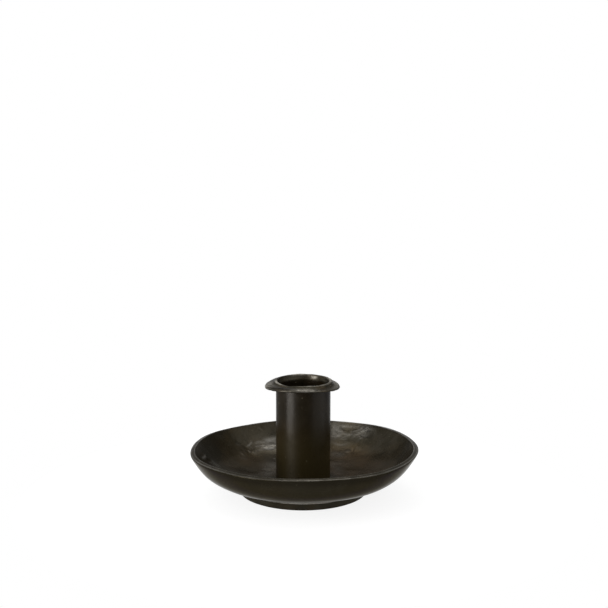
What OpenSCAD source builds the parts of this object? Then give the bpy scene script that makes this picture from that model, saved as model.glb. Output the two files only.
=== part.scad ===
// Saucer candlestick: a hand-formed cast dish with a wavy rim on a turned foot,
// and a plain tube socket with a hand-forged drip collar standing in its middle.
// A screw from below pulls the tube down onto the dish, and a felt ring
// is let into the foot. Millimetres, +Z up, the origin is on the table under
// the middle of the foot, and -Y is the front.

/* [Dish] */
// Radius to the outer edge of the rim
dish_r = 53; // [46:0.5:70]
// Height of the rim's outer edge above the flat underside
dish_h = 17; // [12:0.5:26]
// Thickness of the flat floor
floor_t = 2.3; // [1.8:0.1:4]
// Radius where the inside floor starts to rise
floor_r = 19.5; // [16:0.5:26]
// How far the flat underside reaches past the foot
underside_reach = 0.4; // [0.2:0.1:2]
// Width of the bevelled band on the rim
rim_w = 2.1; // [1.4:0.1:3.5]
// Rise of the band from its outer to its inner edge
rim_rise = 0.6; // [0.3:0.1:1.2]
// Strongest rise and fall of the hand-formed rim
rim_wave_z = 0.7; // [0.2:0.05:1.2]
// Strongest swing of the rim in and out
rim_wave_r = 0.45; // [0.2:0.05:1.2]
// Height of the spigot that centres the tube
spigot_h = 1.5; // [1:0.1:1.8]
// Gap between the spigot and the tube's bore
spigot_gap = 0.1; // [0.05:0.05:0.3]

/* [Foot] */
// Outer radius of the foot at its bottom edge
foot_r = 29.5; // [24:0.5:34]
// Height of the foot ring
foot_h = 3.6; // [3:0.1:6]
// Width of the ring's section
foot_w = 5.2; // [4:0.1:8]
// How much wider the foot is where it meets the dish
foot_flare = 0.4; // [0.1:0.1:1]
// Rounding of the foot's bottom edges
foot_round = 0.5; // [0.2:0.1:0.8]

/* [Felt] */
// Thickness of the felt ring
felt_t = 1.2; // [0.8:0.1:2]
// How far the felt stands out below the foot
felt_proud = 0.4; // [0.2:0.1:0.6]
// Width of the metal lip on each side of the felt
felt_lip = 0.9; // [0.7:0.1:1.2]
// Gap between the felt and each lip
felt_gap = 0.1; // [0.05:0.05:0.2]

/* [Candle] */
// Diameter of the candle that the socket takes
candle_d = 22; // [19:0.5:25]
// Gap all round the candle
candle_gap = 0.3; // [0.2:0.1:0.6]

/* [Socket tube] */
// Wall of the drawn tube
tube_wall = 1.4; // [1:0.1:2.5]
// Height of the mouth's crest above the floor
socket_h = 46.4; // [36:0.1:70]

/* [Drip collar] */
// Radius to the collar's outer edge
collar_r = 17.3; // [16.8:0.1:22]
// Height of the collar from its underside to the crest
collar_h = 3.3; // [2.8:0.1:5]
// Thickness of the metal round the tube at the collar's underside
collar_neck = 0.8; // [0.6:0.1:1.2]
// Depth to which the tube's end sits inside the collar
collar_seat = 1.2; // [0.8:0.1:1.5]
// How much wider the mouth is than the bore, all round
mouth_flare = 0.8; // [0.4:0.1:1.2]
// Width of the rounded crest round the mouth
crest_w = 1.1; // [0.6:0.1:1.6]
// Strongest swing of the collar's edge in and out
collar_wave_r = 0.35; // [0.1:0.05:0.6]
// Strongest rise and fall of the collar's edge and crest
collar_wave_z = 0.4; // [0.1:0.05:0.5]
// How far the top of the flange swells on its full side
collar_swell = 0.35; // [0.1:0.05:0.6]
// Gap for the brazed joint between collar and tube
braze_gap = 0.05; // [0.03:0.01:0.1]

/* [Candle seat] */
// Thickness of the plug that the candle stands on
seat_t = 6; // [5.5:0.1:10]
// Gap under the plug, so that the screw draws the tube down
seat_lift = 0.5; // [0.3:0.1:0.9]
// Bevel of the plug's two edges
seat_bevel = 0.5; // [0.2:0.1:1]
// Width of the ledge that the tube's bore leaves level with the plug's top
ledge_w = 0.5; // [0.3:0.1:0.8]

/* [Fixing screw] */
// Thread diameter
screw_d = 5; // [4:0.5:6]
// Length under the head
screw_l = 10; // [9.5:0.1:10]
// Diameter of the pan head
head_d = 9.5; // [8.5:0.1:12]
// Height of the pan head
head_h = 3; // [2:0.1:3.2]
// Width of the driving slot
slot_w = 1.2; // [0.8:0.1:1.6]
// Depth of the driving slot
slot_depth = 1.3; // [0.8:0.1:1.6]
// Gap round the thread in the tapped plug
thread_gap = 0.05; // [0.03:0.01:0.1]
// Gap round the thread in the dish
screw_gap = 0.25; // [0.2:0.05:0.5]

/* [Washer] */
// Outer diameter of the washer
washer_d = 10.6; // [10:0.1:14]
// Thickness of the washer, which lies flush in its recess
washer_t = 1; // [0.6:0.1:1.2]
// Gap round the thread in the washer
washer_gap = 0.15; // [0.1:0.05:0.3]
// Gap round the washer in its recess
recess_gap = 0.2; // [0.1:0.1:0.5]

/* [Hidden] */

$fn = 96;
// Number of points round a hand-formed ring, and steps along a curved wall
around = 72;
wall_steps = 9;
// Overrun of every cut
cut = 1;

// Heights, from the table up
foot_z = felt_proud;
underside_z = foot_z + foot_h;
floor_z = underside_z + floor_t;
rim_z = underside_z + dish_h;
seat_z = floor_z + spigot_h + seat_lift;
seat_top_z = seat_z + seat_t;
crest_z = floor_z + socket_h;
collar_z = crest_z - collar_h;
tube_top_z = collar_z + collar_seat;

// Radii
bore_r = candle_d / 2 + candle_gap;
foot_bore_r = bore_r - ledge_w;
tube_r = bore_r + tube_wall;
mouth_r = bore_r + mouth_flare;
foot_top_r = foot_r + foot_flare;
underside_r = foot_top_r + underside_reach;
screw_r = screw_d / 2;

// Waves round the hand-formed rim. The first row goes round once, the next
// twice and so on, and each holds a share of the strongest swing and a phase
rim_height_shares = [[1, 40], [0.25, 100], [0.35, 60], [0.1, 240], [0.1, 80], [0.3, 230]];
rim_radius_shares = [[1, 350], [0.15, 260], [0.2, 340]];
// The same for the collar's edge, its crest and the swell of its flange
collar_radius_shares = [[1, 185], [0.3, 20], [0.5, 250]];
collar_edge_shares = [[0.4, 245], [1, 180]];
collar_crest_shares = [[0.8, 95], [0.3, 150]];
collar_swell_shares = [[1, 170], [0.3, 100], [0.3, 20]];

// Handles of the two wall curves, as shares of the way from the flat to the rim
outer_handle_shares = [[0.55, 0.22], [0.73, 0.34]];
inner_handle_shares = [[0.68, 0], [0.8, 0.37]];
// The rim band, inwards by the band's width and upwards by its rise
rim_shares = [[0, -0.6], [0.04, -0.15], [0.17, 0.15], [0.5, 0.5], [0.83, 0.88], [0.96, 0.85], [1, 0.5]];

// The collar's flange from the neck to the crest: outwards from the neck to
// the edge, upwards from the underside to the crest, then the share of the
// edge's waves, of the crest's waves and of the swell that each point takes
flange_shares = [
    [0, 0, 0, 0, 0],
    [0.3, 0.02, 0.3, 0, 0],
    [0.7, 0.1, 0.8, 0, 0],
    [0.9, 0.14, 1, 0, 0],
    [0.98, 0.2, 1, 0, 0],
    [1, 0.29, 1, 0, 0],
    [0.95, 0.39, 1, 0, 0.2],
    [0.8, 0.49, 0.8, 0, 0.7],
    [0.58, 0.57, 0.5, 0.2, 1],
    [0.36, 0.68, 0.2, 0.5, 0.9],
    [0.18, 0.84, 0, 0.8, 0.4],
];
// The rounded crest from outside to inside: outwards by the crest's width, and
// upwards from the tube's end to the crest
crest_shares = [[1, 0.89], [0.7, 0.98], [0.4, 1], [0.15, 0.96], [0, 0.83]];
// The mouth from the crest down: outwards from the bore by the flare, upwards
// as before, then the share of the crest's waves
flare_shares = [[0.75, 0.62, 0.7], [0.4, 0.38, 0.3], [-0.2, 0.17, 0]];

// Sum of the waves in a table of shares at angle a
function waves(a, shares, k = 0) =
    k == len(shares) ? 0 : shares[k][0] * cos((k + 1) * a - shares[k][1]) + waves(a, shares, k + 1);

// Point at share t along a cubic curve through p[0] and p[3]
function curve_point(p, t) =
    pow(1 - t, 3) * p[0] + 3 * pow(1 - t, 2) * t * p[1] + 3 * (1 - t) * t * t * p[2] + pow(t, 3) * p[3];

// Wall curve from point a to point b with its handles at shares of the way
function wall_curve(a, b, shares) = [
    a,
    [a.x + shares[0].x * (b.x - a.x), a.y + shares[0].y * (b.y - a.y)],
    [a.x + shares[1].x * (b.x - a.x), a.y + shares[1].y * (b.y - a.y)],
    b,
];

// How much of the rim's wave a point of the dish at radius r takes: none over
// the foot, all at the rim
function wave_share(r) = pow(max(0, (r - underside_r) / (dish_r - underside_r)), 1.5);

// One ring of the dish, from its radius and height
function dish_ring(p) = [
    for (j = [0 : around - 1])
        let (a = 360 * j / around)
        let (r = p.x + wave_share(p.x) * rim_wave_r * waves(a, rim_radius_shares))
        let (z = p.y + wave_share(p.x) * rim_wave_z * waves(a, rim_height_shares))
        [r * cos(a), r * sin(a), z]
];

// One ring of the collar, from its radius, height and shares of the waves
function collar_ring(p) = [
    for (j = [0 : around - 1])
        let (a = 360 * j / around)
        let (r = p[0] + p[2] * collar_wave_r * waves(a, collar_radius_shares))
        let (edge = p[2] * collar_wave_z * waves(a, collar_edge_shares))
        let (crest = p[3] * collar_wave_z * waves(a, collar_crest_shares))
        let (swell = p[4] * collar_swell * waves(a, collar_swell_shares))
        [r * cos(a), r * sin(a), p[1] + edge + crest + swell]
];

// Closed skin over a stack of rings that starts with the flat underside
module loft(rings) {
    n = len(rings[0]);
    m = len(rings);
    bottom = [[for (j = [0 : n - 1]) j]];
    top = [[for (j = [n - 1 : -1 : 0]) (m - 1) * n + j]];
    sides = [
        for (i = [0 : m - 2], j = [0 : n - 1])
            let (low = i * n, high = low + n, next = (j + 1) % n)
            each [[low + j, high + j, high + next], [low + j, high + next, low + next]]
    ];
    polyhedron([for (ring = rings) each ring], concat(bottom, sides, top));
}

// Cast dish: flat underside, curved outer wall, bevelled rim, curved inside
module dish() {
    band = [for (s = rim_shares) [dish_r - s.x * rim_w, rim_z + s.y * rim_rise]];
    outer = wall_curve([underside_r, underside_z], band[0], outer_handle_shares);
    inner = wall_curve([floor_r, floor_z], band[len(band) - 1], inner_handle_shares);
    steps = [0 : wall_steps - 1];
    profile = concat(
        [for (i = steps) curve_point(outer, i / wall_steps)],
        band,
        [for (i = steps) curve_point(inner, (wall_steps - 1 - i) / wall_steps)]
    );
    color("#2b2720")
    difference() {
        union() {
            loft([for (p = profile) dish_ring(p)]);
            translate([0, 0, floor_z - cut]) cylinder(r = foot_bore_r - spigot_gap, h = spigot_h + cut);
        }
        translate([0, 0, underside_z - cut]) cylinder(r = screw_r + screw_gap, h = floor_t + spigot_h + 2 * cut);
        translate([0, 0, underside_z - cut]) cylinder(r = washer_d / 2 + recess_gap, h = washer_t + cut);
    }
}

// Turned foot ring with rounded bottom edges and a groove for the felt
module foot_ring() {
    inner_r = foot_r - foot_w;
    color("#26221c")
    rotate_extrude()
    difference() {
        union() {
            polygon([
                [inner_r, foot_z + foot_round],
                [inner_r + foot_round, foot_z],
                [foot_r - foot_round, foot_z],
                [foot_r, foot_z + foot_round],
                [foot_top_r, underside_z],
                [inner_r, underside_z],
            ]);
            for (x = [inner_r + foot_round, foot_r - foot_round])
                translate([x, foot_z + foot_round]) circle(r = foot_round);
        }
        translate([inner_r + felt_lip, foot_z - cut])
            square([foot_w - 2 * felt_lip, felt_t - felt_proud + cut]);
    }
}

// Felt ring, glued into the foot's groove and standing out below it
module felt_ring() {
    inner_r = foot_r - foot_w + felt_lip + felt_gap;
    color("#1d1b19")
    rotate_extrude()
    translate([inner_r, 0]) square([foot_w - 2 * (felt_lip + felt_gap), felt_t]);
}

// Drawn tube, standing on the floor of the dish round the spigot, and bored
// out for the candle from its top down to the plug
module socket_tube() {
    color("#221e16")
    difference() {
        translate([0, 0, floor_z]) cylinder(r = tube_r, h = tube_top_z - floor_z);
        translate([0, 0, floor_z - cut]) cylinder(r = foot_bore_r, h = tube_top_z - floor_z + cut);
        translate([0, 0, seat_top_z]) cylinder(r = bore_r, h = tube_top_z - seat_top_z + cut);
    }
}

// Hand-forged drip collar, brazed over the tube's end, with a flared mouth
module drip_collar() {
    neck_r = tube_r + braze_gap + collar_neck;
    flange = [
        for (s = flange_shares)
            [neck_r + s[0] * (collar_r - neck_r), collar_z + s[1] * collar_h, s[2], s[3], s[4]]
    ];
    above_tube = crest_z - tube_top_z;
    crest = [for (s = crest_shares) [mouth_r + s[0] * crest_w, tube_top_z + s[1] * above_tube, 0, 1, 0]];
    flare = [
        for (s = flare_shares)
            [bore_r + s[0] * mouth_flare, tube_top_z + s[1] * above_tube, 0, s[2], 0]
    ];
    color("#3a352d")
    difference() {
        loft([for (p = concat(flange, crest, flare)) collar_ring(p)]);
        translate([0, 0, collar_z - cut]) cylinder(r = bore_r, h = collar_h + cut);
        translate([0, 0, collar_z - cut]) cylinder(r = tube_r + braze_gap, h = collar_seat + cut);
    }
}

// Plug brazed into the tube: the candle stands on it, and the screw pulls on it
module candle_seat() {
    plug_r = foot_bore_r - braze_gap;
    color("#4a4640")
    difference() {
        rotate_extrude()
        polygon([
            [0, seat_z],
            [plug_r - seat_bevel, seat_z],
            [plug_r, seat_z + seat_bevel],
            [plug_r, seat_top_z - seat_bevel],
            [plug_r - seat_bevel, seat_top_z],
            [0, seat_top_z],
        ]);
        translate([0, 0, seat_z - cut]) cylinder(r = screw_r + thread_gap, h = seat_t + 2 * cut);
    }
}

// Slotted pan-head screw, its head against the washer and its tip in the plug
module fixing_screw() {
    head_r = head_d / 2;
    head_round = head_h / 3;
    tip_z = underside_z + screw_l;
    color("#8f8b84")
    difference() {
        rotate_extrude()
        union() {
            polygon([
                [0, underside_z - head_h],
                [head_r - head_round, underside_z - head_h],
                [head_r, underside_z - head_h + head_round],
                [head_r, underside_z],
                [screw_r, underside_z],
                [screw_r, tip_z - screw_r / 4],
                [screw_r - screw_r / 4, tip_z],
                [0, tip_z],
            ]);
            translate([head_r - head_round, underside_z - head_h + head_round]) circle(r = head_round);
        }
        translate([-head_r - cut, -slot_w / 2, underside_z - head_h - cut])
            cube([head_d + 2 * cut, slot_w, slot_depth + cut]);
    }
}

// Plain washer, flush in its recess under the dish
module washer() {
    color("#9b968c")
    translate([0, 0, underside_z])
    difference() {
        cylinder(r = washer_d / 2, h = washer_t);
        translate([0, 0, -cut]) cylinder(r = screw_r + washer_gap, h = washer_t + 2 * cut);
    }
}

dish();
foot_ring();
felt_ring();
socket_tube();
drip_collar();
candle_seat();
fixing_screw();
washer();
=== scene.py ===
# The finish of a saucer candlestick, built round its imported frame. Sizes are in
# millimetres and become metres as each mesh is made. Angles are in degrees,
# anticlockwise from +X seen from above, so the front of the dish is at 270.
import math

import bpy
import numpy as np
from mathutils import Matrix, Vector, noise


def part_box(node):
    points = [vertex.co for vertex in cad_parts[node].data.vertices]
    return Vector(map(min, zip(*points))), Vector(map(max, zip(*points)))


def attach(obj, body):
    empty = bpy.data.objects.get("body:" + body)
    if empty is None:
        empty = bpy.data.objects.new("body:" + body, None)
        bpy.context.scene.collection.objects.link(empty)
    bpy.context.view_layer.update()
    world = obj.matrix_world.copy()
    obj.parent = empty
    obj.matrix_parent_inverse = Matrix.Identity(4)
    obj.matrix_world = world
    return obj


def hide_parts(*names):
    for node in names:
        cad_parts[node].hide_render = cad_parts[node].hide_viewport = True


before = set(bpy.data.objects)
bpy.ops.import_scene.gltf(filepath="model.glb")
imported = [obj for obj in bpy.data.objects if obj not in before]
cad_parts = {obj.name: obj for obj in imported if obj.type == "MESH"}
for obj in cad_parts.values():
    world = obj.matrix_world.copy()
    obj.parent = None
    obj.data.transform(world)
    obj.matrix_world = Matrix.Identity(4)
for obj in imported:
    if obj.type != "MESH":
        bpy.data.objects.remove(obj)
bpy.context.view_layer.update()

MM = 0.001


# Sizes

def box_mm(node):
    """Lowest and highest corner of a CAD node, in millimetres."""
    return [[value / MM for value in corner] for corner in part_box(node)]


foot_low, foot_high = box_mm("foot_ring")
tube_low, tube_high = box_mm("socket_tube")
seat_high = box_mm("candle_seat")[1]
washer_high = box_mm("washer")[1]
felt_high = box_mm("felt_ring")[1]

FOOT_Z = foot_low[2]
UNDERSIDE_Z = foot_high[2]
FLOOR_Z = tube_low[2]
TUBE_TOP_Z = tube_high[2]
TUBE_R = tube_high[0]
FOOT_TOP_R = foot_high[0]
LEDGE_Z = seat_high[2]
WASHER_R = washer_high[0]
FELT_R = felt_high[0]
FELT_T = felt_high[2]

# Dish
DISH_R = 53.0
DISH_H = 17.0
FLOOR_R = 19.5
UNDERSIDE_REACH = 0.4
UNDERSIDE_R = FOOT_TOP_R + UNDERSIDE_REACH
RIM_W = 2.1
RIM_RISE = 0.6
RIM_Z = UNDERSIDE_Z + DISH_H
RIM_WAVE_Z = 0.7
RIM_WAVE_R = 0.45
RIM_OUT_ROUND = 0.12
RIM_IN_ROUND = 0.4
SPIGOT_H = 1.5
SPIGOT_GAP = 0.1
# Handles of the two walls, as shares of the way from the flat to the rim
OUTER_HANDLES = [(0.55, 0.22), (0.73, 0.34)]
INNER_HANDLES = [(0.68, 0.0), (0.8, 0.37)]
# Heights over the rim's outer edge, as shares of the band's rise: the end of the outer
# wall, the start of the edge and the end of the inner wall
OUTER_END = -0.6
EDGE_START = -0.3
INNER_END = 0.5
# How strongly the rim's waves fade towards the foot
WAVE_POWER = 1.5

# Foot and felt
FOOT_R = 29.5
FOOT_W = 5.2
FOOT_ROUND = 0.5
FELT_LIP = 0.9
FELT_GAP = 0.1
FELT_PROUD = 0.4
FELT_W = FOOT_W - 2 * (FELT_LIP + FELT_GAP)
# Height of the braze under the dish, and its corners: out from the foot's top, down
# from the underside, and rounding
BRAZE_H = 0.75
BRAZE_BEAD = [(-0.1, BRAZE_H, 0.1), (0.7, 0.25, 0.3), (0.85, 0.02, 0.05)]

# Socket and collar
BORE_R = 11.3
LEDGE_W = 0.5
COLLAR_R = 17.3
COLLAR_H = 3.3
COLLAR_SEAT = 1.2
COLLAR_NECK = 0.8
BRAZE_GAP = 0.05
MOUTH_FLARE = 0.8
CREST_W = 1.1
COLLAR_WAVE_R = 0.35
COLLAR_WAVE_Z = 0.4
COLLAR_SWELL = 0.35
COLLAR_Z = TUBE_TOP_Z - COLLAR_SEAT
CREST_Z = COLLAR_Z + COLLAR_H

# Screw and washer
SCREW_R = 2.5
SCREW_GAP = 0.25
WASHER_T = 1.0
RECESS_GAP = 0.2

# Roundings of the turned edges
ROUND_LEAST = 0.05
ROUND_SMALL = 0.1
ROUND_EDGE = 0.15
ROUND_SOFT = 0.2
ROUND_FELT = 0.25

# Columns of each grid round the axis, longest step along each outline, and parts of
# the dish's walls and between two points of the collar
DISH_COLUMNS = 540
FOOT_COLUMNS = 360
FELT_COLUMNS = 480
TUBE_COLUMNS = 180
COLLAR_COLUMNS = 360
FOOT_STEP = 0.5
FELT_STEP = 0.3
TUBE_STEP = 1.0
OUTER_PARTS = 60
INNER_PARTS = 82
COLLAR_PARTS = 5
# Longest reach of an arc along a side, as a share, and the turn of each of its parts
ARC_REACH = 0.45
ARC_TURN = 18
# Faces that meet at a larger angle keep a sharp edge
SHARP_ANGLE = 50
# How far apart two seeds of the noise lie
NOISE_STEPS = (17.3, 5.1, 9.7)

# Waves of the hand-formed edges: the first row goes round once, the next twice
# and so on, and each holds a share of the strongest swing and a phase
RIM_HEIGHT = [(1, 40), (0.25, 100), (0.35, 60), (0.1, 240), (0.1, 80), (0.3, 230)]
RIM_RADIUS = [(1, 350), (0.15, 260), (0.2, 340)]
COLLAR_RADIUS = [(1, 185), (0.3, 20), (0.5, 250)]
COLLAR_EDGE = [(0.4, 245), (1, 180)]
COLLAR_CREST = [(0.8, 95), (0.3, 150)]
COLLAR_FULL = [(1, 170), (0.3, 100), (0.3, 20)]


# Meshes

def waves(angle, table):
    """Sum of the waves in a table at an angle or an array of angles."""
    return sum(share * np.cos(np.radians((k + 1) * angle - phase)) for k, (share, phase) in enumerate(table))


def smooth_step(value, low, high):
    """0 below low, 1 above high, and a smooth rise between them."""
    t = np.clip((value - low) / (high - low), 0.0, 1.0)
    return t * t * (3 - 2 * t)


def around(columns):
    """Angles of that many columns, evenly spaced round the axis."""
    return np.linspace(0, 360, columns, endpoint=False)


def turn_from(middle, angles):
    """Turn from the middle angle to each of the angles, between -180 and 180."""
    return (angles - middle + 180) % 360 - 180


def patches(angles, table):
    """Sum of the soft patches in a table of angle, spread and strength."""
    return sum(
        strength * np.exp(-(turn_from(middle, angles) / spread) ** 2)
        for middle, spread, strength in table
    )


def wall_curve(a, b, handles, parts):
    """Points of the cubic curve from a to b, without its ends."""
    a, b = np.array(a), np.array(b)
    p, q = (a + np.array(h) * (b - a) for h in handles)
    points = []
    for t in np.linspace(0, 1, parts + 1)[1:-1]:
        points.append((1 - t) ** 3 * a + 3 * (1 - t) ** 2 * t * p + 3 * (1 - t) * t * t * q + t ** 3 * b)
    return points


def rounded(corners, steps):
    """Closed outline through corners (r, z, rounding, zone), with an arc at each rounded one.

    Returns an array of (r, z, zone) with a point at least every steps[zone]. A point
    takes its zone from the corner before it.
    """
    count = len(corners)
    turned = []
    for k, (r, z, rounding, zone) in enumerate(corners):
        here = np.array((r, z))
        if rounding == 0:
            turned.append((here, zone))
            continue
        back = np.array(corners[k - 1][:2]) - here
        ahead = np.array(corners[(k + 1) % count][:2]) - here
        back_len, ahead_len = np.linalg.norm(back), np.linalg.norm(ahead)
        back, ahead = back / back_len, ahead / ahead_len
        opening = math.acos(max(-1.0, min(1.0, float(back @ ahead))))
        reach = min(rounding / math.tan(opening / 2), ARC_REACH * back_len, ARC_REACH * ahead_len)
        radius = reach * math.tan(opening / 2)
        middle = here + (back + ahead) / np.linalg.norm(back + ahead) * radius / math.sin(opening / 2)
        start, end = here + back * reach - middle, here + ahead * reach - middle
        turn = math.pi - opening
        parts = max(2, round(turn / math.radians(ARC_TURN)))
        for i in range(parts + 1):
            t = i / parts
            arm = (math.sin((1 - t) * turn) * start + math.sin(t * turn) * end) / math.sin(turn)
            turned.append((middle + arm, zone))
    outline = []
    for k, (here, zone) in enumerate(turned):
        after = turned[(k + 1) % len(turned)][0]
        parts = max(1, math.ceil(np.linalg.norm(after - here) / steps[zone]))
        for i in range(parts):
            point = here + (after - here) * i / parts
            outline.append((point[0], point[1], zone))
    return np.array(outline)


def normals_of(points):
    """Outward normals of a grid of points that is closed both ways."""
    along = np.roll(points, -1, 0) - np.roll(points, 1, 0)
    across = np.roll(points, -1, 1) - np.roll(points, 1, 1)
    normals = np.cross(across, along)
    return normals / np.maximum(np.linalg.norm(normals, axis=-1, keepdims=True), 1e-9)


def turned_grid(r, z, angles):
    """Grid of points from grids of radius and height, and one angle a column."""
    a = np.radians(angles)[None, :]
    r, z = r + 0 * a, z + 0 * a
    return np.stack([r * np.cos(a), r * np.sin(a), z], axis=-1)


def noise_at(points, size, seed):
    """Smooth noise from -1 to 1 at each point, with features of about that size."""
    offset = Vector([seed * step for step in NOISE_STEPS])
    flat = points.reshape(-1, 3) / size
    values = [noise.noise(Vector(p) + offset) for p in flat.tolist()]
    return np.array(values).reshape(points.shape[:-1])


def layered(points, table):
    """Sum of the noises in a table of strength, size and seed, at each point."""
    return sum(strength * noise_at(points, size, seed) for strength, size, seed in table)


def pushed(points, relief):
    """Grid of points pushed outwards by the relief, which has one number a point."""
    return points + normals_of(points) * relief[..., None]


def turned_shape(corners, step, columns):
    """Radii, heights, angles and points of a plain turned shape through corners (r, z, rounding)."""
    outline = rounded([(*corner, 0) for corner in corners], [step])
    r, z = outline[:, :1], outline[:, 1:2]
    angles = around(columns)
    return r, z, angles, turned_grid(r, z, angles)


def skin(name, points, material, wear_and_highlight=0.0, calm=0.0, stain_and_shade=0.0, rust=0.0):
    """Piece whose closed surface is a grid of points, riding on the one body.

    Shares of wear with painted highlights, of calm, of stains with painted shade and of rust, one a point or
    one for all, that the finish reads.
    """
    rows, columns = points.shape[:2]
    row, column = np.meshgrid(np.arange(rows), np.arange(columns), indexing="ij")
    next_row, next_column = (row + 1) % rows, (column + 1) % columns
    corner = np.stack([
        row * columns + column,
        row * columns + next_column,
        next_row * columns + next_column,
        next_row * columns + column,
    ], axis=-1)
    mesh = bpy.data.meshes.new(name)
    mesh.from_pydata((points * MM).reshape(-1, 3).tolist(), [], corner.reshape(-1, 4).tolist())
    mesh.polygons.foreach_set("use_smooth", [True] * len(mesh.polygons))
    mesh.set_sharp_from_angle(angle=math.radians(SHARP_ANGLE))
    for label, values in (("wear_and_highlight", wear_and_highlight), ("calm", calm), ("stain_and_shade", stain_and_shade), ("rust", rust)):
        shares = np.clip(values + np.zeros((rows, columns)), 0, 1).reshape(-1)
        mesh.attributes.new(label, "FLOAT", "POINT").data.foreach_set("value", shares)
    mesh.materials.append(material)
    piece = bpy.data.objects.new(name, mesh)
    bpy.context.scene.collection.objects.link(piece)
    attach(piece, "root")
    return piece


# Materials

# Tones that every patina shares: dark tone of stains and painted shade, warm stain, dust, and the tint of
# the gloss
STAIN_AND_SHADE_TONE = "120f0a"
RUST_TONE = "5b4935"
DUST_TONE = "8a8470"
GLOSS_TINT = "c4c4c4"
# Spacing and radius of the specks of dust
DUST_SPACING = 2.6
DUST_R = 0.18
# How much smoother the calm metal is, and how much of the blotches it keeps
CALM_SMOOTHER = 0.16
CALM_BLOTCHES = 0.25
# Size of the patina's warm patches, as a share of the blotches' size, and of its grain
WARM_SHARE = 1.7
GRAIN_SIZE = 0.5
# How far the warm patches and the grain lie from the blotches in the noise
WARM_OFFSET = 3.1
GRAIN_OFFSET = 5.7
# Noise values between which each mask of the patina comes in, then what it starts and
# ends with where that isn't 0 and 1
BLOTCH_MASK = (0.38, 0.66)
WARM_MASK = (0.45, 0.7, 0.0, 0.75)
RUB_MASK = (0.3, 0.6, 0.55, 1.0)
DUST_MASK = (0.45, 0.55)
BLOTCH_ROUGH = (0.3, 0.7, -0.06, 0.06)
GRAIN_ROUGH = (0.3, 0.7, -0.04, 0.04)

# Felt: its tones, size and depth of its fibres, size of its soft patches, and its masks
FELT_DARK = "171514"
FELT_LIGHT = "34302d"
FELT_WARM = "2a2522"
FIBRE_SIZE = 0.35
FIBRE_DEPTH = 0.15
FELT_PATCH = 6.0
FIBRE_MASK = (0.3, 0.7)
FELT_PATCH_MASK = (0.4, 0.7, 0.0, 0.4)
FELT_ROUGH = (0.2, 0.8, 0.85, 1.0)
FELT_SHEEN = 0.3

# Steel: size of its patches, size and depth of its fine grain, how far the grain lies
# from the patches in the noise, light tone and masks
STEEL_PATCH = 3.0
STEEL_GRAIN_SIZE = 0.25
STEEL_GRAIN_DEPTH = 0.01
STEEL_GRAIN_OFFSET = 2.0
STEEL_TONE = "8d8a84"
STEEL_MASK = (0.35, 0.7)
STEEL_ROUGH = (0.3, 0.7, 0.28, 0.45)


def map_range(tree, value, low, high, to_low, to_high):
    """Node output that goes smoothly from to_low to to_high while the value goes from low to high."""
    node = tree.nodes.new("ShaderNodeMapRange")
    node.interpolation_type = "SMOOTHSTEP"
    tree.links.new(value, node.inputs["Value"])
    for name, number in (("From Min", low), ("From Max", high), ("To Min", to_low), ("To Max", to_high)):
        node.inputs[name].default_value = number
    return node.outputs["Result"]


class Shader:
    """A material's node tree, with short calls for the nodes that the finishes share."""

    # Share of a noise's offset that goes along each axis
    OFFSET_SHARES = (1, 0.7, 1.3)

    def __init__(self, name):
        self.material = bpy.data.materials.new(name)
        self.material.use_nodes = True
        self.tree = self.material.node_tree
        self.surface = self.tree.nodes["Principled BSDF"]
        self.place = self.tree.nodes.new("ShaderNodeTexCoord").outputs["Object"]

    def put(self, socket, value):
        """Gives a socket a node's output, a number or a colour."""
        if isinstance(value, bpy.types.NodeSocket):
            self.tree.links.new(value, socket)
        else:
            socket.default_value = value

    def set_surface(self, name, value):
        self.put(self.surface.inputs[name], value)

    def noise(self, size, detail=3.0, rough=0.55, warp=0.0, offset=0.0):
        place = self.tree.nodes.new("ShaderNodeMapping")
        place.inputs["Location"].default_value = [offset * share for share in self.OFFSET_SHARES]
        self.put(place.inputs["Vector"], self.place)
        node = self.tree.nodes.new("ShaderNodeTexNoise")
        node.inputs["Scale"].default_value = 1 / (size * MM)
        node.inputs["Detail"].default_value = detail
        node.inputs["Roughness"].default_value = rough
        node.inputs["Distortion"].default_value = warp
        self.put(node.inputs["Vector"], place.outputs["Vector"])
        return node.outputs["Fac"]

    def specks(self, spacing, radius):
        node = self.tree.nodes.new("ShaderNodeTexVoronoi")
        node.inputs["Scale"].default_value = 1 / (spacing * MM)
        self.put(node.inputs["Vector"], self.place)
        return self.ramp(node.outputs["Distance"], radius / spacing, 0.5 * radius / spacing)

    def ramp(self, value, low, high, to_low=0.0, to_high=1.0):
        if low > high:
            return map_range(self.tree, value, high, low, to_high, to_low)
        return map_range(self.tree, value, low, high, to_low, to_high)

    def math(self, kind, a, b):
        node = self.tree.nodes.new("ShaderNodeMath")
        node.operation = kind
        self.put(node.inputs[0], a)
        self.put(node.inputs[1], b)
        return node.outputs["Value"]

    def blend(self, share, a, b):
        node = self.tree.nodes.new("ShaderNodeMix")
        node.data_type = "RGBA"
        sockets = {(socket.name, socket.type): socket for socket in node.inputs}
        self.put(sockets["Factor", "VALUE"], share)
        self.put(sockets["A", "RGBA"], a)
        self.put(sockets["B", "RGBA"], b)
        return next(socket for socket in node.outputs if socket.type == "RGBA")

    def attribute(self, name):
        node = self.tree.nodes.new("ShaderNodeAttribute")
        node.attribute_name = name
        return node.outputs["Fac"]

    def height(self):
        node = self.tree.nodes.new("ShaderNodeSeparateXYZ")
        self.put(node.inputs[0], self.place)
        return node.outputs["Z"]

    def bump(self, height, depth):
        node = self.tree.nodes.new("ShaderNodeBump")
        node.inputs["Strength"].default_value = 1.0
        node.inputs["Distance"].default_value = depth * MM
        self.put(node.inputs["Height"], height)
        return node.outputs["Normal"]


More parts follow.
